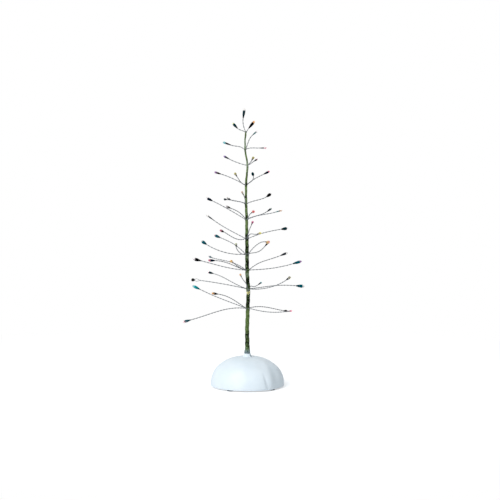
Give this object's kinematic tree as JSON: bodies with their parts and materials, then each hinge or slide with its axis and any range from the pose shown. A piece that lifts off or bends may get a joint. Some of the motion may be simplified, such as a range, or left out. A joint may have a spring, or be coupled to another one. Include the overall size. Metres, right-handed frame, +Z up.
{
  "type": "lighted christmas tree",
  "caption": "Small battery light tree: a taped wire trunk with tiers of twisted lead branches that end in coloured lamps, standing in a white moulded snow mound.",
  "frame": {"origin": "on the table, on the mean line of the trunk, at the bottom centre of the object's box", "axes": "+Z up along the trunk, -Y to the front as pictured, +X to the viewer's right"},
  "size_m": [0.1323, 0.1178, 0.302],
  "materials": {
    "snow_plastic": "satin gloss",
    "plate_plastic": "satin",
    "foot_rubber": "matte",
    "screw_steel": "bright zinc",
    "cell_jacket": "gloss printed jacket",
    "contact_nickel": "bright nickel",
    "switch_plastic": "matte",
    "board_laminate": "satin",
    "inner_lead": "satin",
    "bushing_nylon": "matte",
    "trunk_steel": "drawn wire",
    "lead_insulation": "satin",
    "stem_tape": "waxed crepe tape",
    "lamp_spray": "satin"
  },
  "bodies": {
    "tree": {"base_shell": "snow_plastic", "base_plate": "plate_plastic", "foot_1": "foot_rubber", "foot_2": "foot_rubber", "foot_3": "foot_rubber", "foot_4": "foot_rubber", "plate_screw_1": "screw_steel", "plate_screw_2": "screw_steel", "plate_screw_3": "screw_steel", "plate_screw_4": "screw_steel", "battery_cell_1": "cell_jacket", "battery_cell_2": "cell_jacket", "battery_cell_3": "cell_jacket", "contact_positive": "contact_nickel", "contact_bridge_a": "contact_nickel", "contact_bridge_b": "contact_nickel", "contact_negative": "contact_nickel", "switch_body": "switch_plastic", "circuit_board": "board_laminate", "controller_chip": "switch_plastic", "board_screw_1": "screw_steel", "board_screw_2": "screw_steel", "lead_cell_to_switch": "inner_lead", "lead_switch_to_board": "inner_lead", "lead_board_to_cell": "inner_lead", "trunk_bushing": "bushing_nylon", "trunk_core": "trunk_steel", "lead_bundle": "lead_insulation", "trunk_wrap": "stem_tape", "crown_lights": "lamp_spray", "tier_02_lights": "lamp_spray", "tier_03_lights": "lamp_spray", "tier_04_lights": "lamp_spray", "tier_05_lights": "lamp_spray", "tier_06_lights": "lamp_spray", "tier_07_lights": "lamp_spray", "tier_08_lights": "lamp_spray", "tier_09_lights": "lamp_spray", "tier_10_lights": "lamp_spray", "tier_11_lights": "lamp_spray"},
    "battery_door": {"battery_door": "plate_plastic"},
    "switch_knob": {"switch_knob": "switch_plastic"}
  },
  "joints": [
    {"name": "battery_door_hinge", "type": "hinge", "parent": "tree", "child": "battery_door", "pos_m": [-0.021, 0.01569, 0.0015], "axis": [0.5878, 0.809, 0], "range_deg": [0, 70]},
    {"name": "switch_slide", "type": "slide", "parent": "tree", "child": "switch_knob", "axis": [0.5878, 0.809, 0], "range_m": [0, 0.002]}
  ]
}
